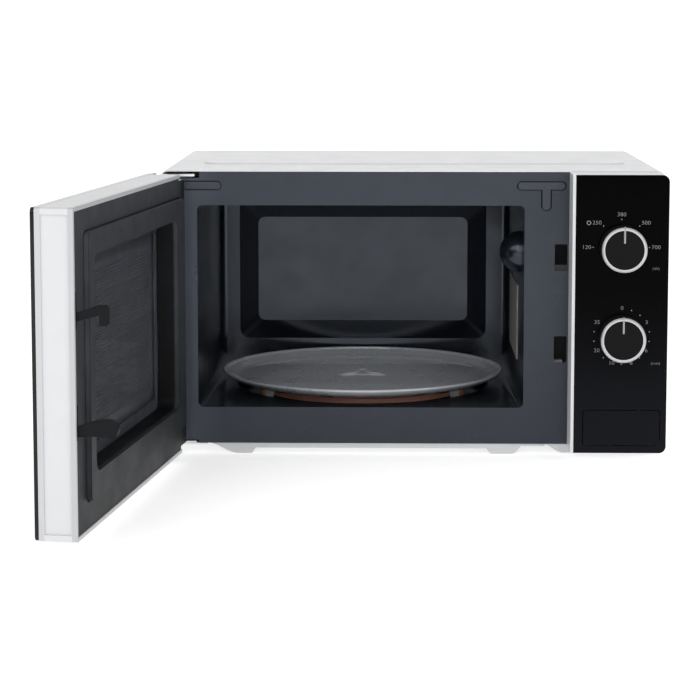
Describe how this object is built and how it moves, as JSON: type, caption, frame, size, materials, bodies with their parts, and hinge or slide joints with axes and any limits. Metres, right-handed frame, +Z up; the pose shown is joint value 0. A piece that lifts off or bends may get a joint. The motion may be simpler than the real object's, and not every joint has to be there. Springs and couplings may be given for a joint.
{
  "type": "microwave oven",
  "caption": "Countertop microwave oven with its door open: white cabinet, dark enamel cavity, glass turntable, two dials and a push button that releases the door.",
  "frame": {"origin": "on the plane that the feet stand on, under the middle of the cabinet", "axes": "+Z up, the front with the door faces -Y, +X to the right seen from the front; the door stands open at rest"},
  "size_m": [0.4941, 0.6684, 0.2522],
  "materials": {
    "white_enamel": "satin white powder coat",
    "zinc_sheet": "light grey coated sheet",
    "white_plastic": "glossy white moulding",
    "black_plastic": "glossy black moulding",
    "dark_plastic": "fine-textured dark grey moulding",
    "grey_enamel": "glossy blue-grey enamel",
    "cavity_enamel": "glossy dark blue-grey enamel",
    "mica": "grey mica sheet",
    "bright_steel": "zinc-plated steel",
    "copper": "enamelled copper wire",
    "laminated_iron": "varnished laminations",
    "can_aluminium": "drawn aluminium",
    "natural_plastic": "natural nylon",
    "switch_red": "red moulded phenolic",
    "board_green": "printed circuit board",
    "tray_glass": "tempered glass, satin underside",
    "bulb_glass": "clear glass bulb",
    "ring_plastic": "red-brown heat-resistant moulding",
    "roller_white": "white low-friction plastic",
    "knob_black": "black dial face with a white pointer",
    "knob_silver": "satin aluminium ring",
    "door_black_glass": "black-backed tempered glass",
    "window_film": "clear polyester film",
    "screen_metal": "dark painted perforated sheet",
    "rubber_foot": "moulded rubber"
  },
  "bodies": {
    "body": {"outer_cabinet": "white_enamel", "rear_panel": "zinc_sheet", "base_plate": "white_enamel", "rear_feet": "rubber_foot", "cabinet_screws": "bright_steel", "front_frame": "grey_enamel", "oven_cavity": "cavity_enamel", "waveguide_cover": "mica", "waveguide": "bright_steel", "magnetron_yoke": "bright_steel", "magnetron_anode": "copper", "magnetron_filter_box": "bright_steel", "transformer_core": "laminated_iron", "transformer_windings": "copper", "capacitor": "can_aluminium", "high_voltage_diode": "black_plastic", "fan_shroud": "natural_plastic", "fan_motor": "laminated_iron", "noise_filter_board": "board_green", "thermal_cutout": "natural_plastic", "lamp_holder": "bright_steel", "oven_lamp": "bulb_glass", "lamp_cover": "cavity_enamel", "turntable_motor": "bright_steel", "panel_housing": "white_plastic", "panel_fascia": "black_plastic", "power_selector": "natural_plastic", "timer_unit": "bright_steel", "lever_spring": "bright_steel", "latch_body": "dark_plastic", "primary_switch": "switch_red", "monitor_switch": "switch_red", "secondary_switch": "switch_red", "cord_gland": "dark_plastic", "upper_hinge": "bright_steel", "lower_hinge": "bright_steel", "hinge_pins": "bright_steel"},
    "door": {"door_frame": "white_plastic", "door_glass": "door_black_glass", "door_plate": "screen_metal", "window_screen": "screen_metal", "choke_cover": "dark_plastic", "inner_window": "window_film", "key_spring": "bright_steel"},
    "door_key": {"door_key": "dark_plastic"},
    "power_dial": {"power_knob": "knob_black", "power_knob_ring": "knob_silver"},
    "timer_dial": {"timer_knob": "knob_black", "timer_knob_ring": "knob_silver"},
    "door_button": {"door_button": "black_plastic"},
    "release_lever": {"release_lever": "natural_plastic"},
    "turntable_coupler": {"turntable_coupler": "natural_plastic"},
    "glass_tray": {"glass_tray": "tray_glass"},
    "roller_ring": {"roller_ring": "ring_plastic"},
    "roller_1": {"roller_1": "roller_white"},
    "roller_2": {"roller_2": "roller_white"},
    "roller_3": {"roller_3": "roller_white"},
    "fan": {"fan_blade": "natural_plastic"}
  },
  "joints": [
    {"name": "door_swing", "type": "hinge", "parent": "body", "child": "door", "pos_m": [-0.215, -0.1675, 0.129], "axis": [0, 0, -1], "range_deg": [-97.5, 2.5]},
    {"name": "door_key_slide", "type": "slide", "parent": "door", "child": "door_key", "axis": [0, 0, 1], "range_m": [0, 0.004], "stiffness_N_per_m": 300, "springref_m": -0.002, "deforming": ["key_spring"]},
    {"name": "power_knob_turn", "type": "hinge", "parent": "body", "child": "power_dial", "pos_m": [0.1805, -0.19, 0.187], "axis": [0, 1, 0], "range_deg": [-90, 90]},
    {"name": "timer_knob_turn", "type": "hinge", "parent": "body", "child": "timer_dial", "pos_m": [0.1805, -0.19, 0.1095], "axis": [0, 1, 0], "range_deg": [0, 300]},
    {"name": "door_button_press", "type": "slide", "parent": "body", "child": "door_button", "axis": [0, 1, 0], "range_m": [0, 0.005], "stiffness_N_per_m": 500, "springref_m": -0.004},
    {"name": "release_lever_turn", "type": "hinge", "parent": "body", "child": "release_lever", "pos_m": [0.13, -0.133, 0.052], "axis": [1, 0, 0], "range_deg": [0, 15]},
    {"name": "turntable_spin", "type": "hinge", "parent": "body", "child": "turntable_coupler", "pos_m": [-0.0449, -0.007, 0.04], "axis": [0, 0, 1], "continuous": true},
    {"name": "tray_lift", "type": "slide", "parent": "turntable_coupler", "child": "glass_tray", "axis": [0, 0, 1], "range_m": [0, 0.04]},
    {"name": "roller_ring_spin", "type": "hinge", "parent": "body", "child": "roller_ring", "pos_m": [-0.0449, -0.007, 0.0395], "axis": [0, 0, 1], "continuous": true},
    {"name": "roller_1_spin", "type": "hinge", "parent": "roller_ring", "child": "roller_1", "pos_m": [-0.0449, 0.094, 0.0395], "axis": [0, 1, 0], "continuous": true},
    {"name": "roller_2_spin", "type": "hinge", "parent": "roller_ring", "child": "roller_2", "pos_m": [-0.13237, -0.0575, 0.0395], "axis": [-0.866, -0.5, 0], "continuous": true},
    {"name": "roller_3_spin", "type": "hinge", "parent": "roller_ring", "child": "roller_3", "pos_m": [0.04257, -0.0575, 0.0395], "axis": [0.866, -0.5, 0], "continuous": true},
    {"name": "fan_spin", "type": "hinge", "parent": "body", "child": "fan", "pos_m": [0.16, 0.127, 0.105], "axis": [0, 1, 0], "continuous": true}
  ],
  "couplings": [
    {"joint": "release_lever_turn", "follows": "door_button_press", "rad_per_m": 50.6},
    {"joint": "roller_ring_spin", "follows": "turntable_spin", "ratio": 0.5},
    {"joint": "roller_1_spin", "follows": "turntable_spin", "ratio": -8.4167},
    {"joint": "roller_2_spin", "follows": "turntable_spin", "ratio": -8.4167},
    {"joint": "roller_3_spin", "follows": "turntable_spin", "ratio": -8.4167}
  ]
}
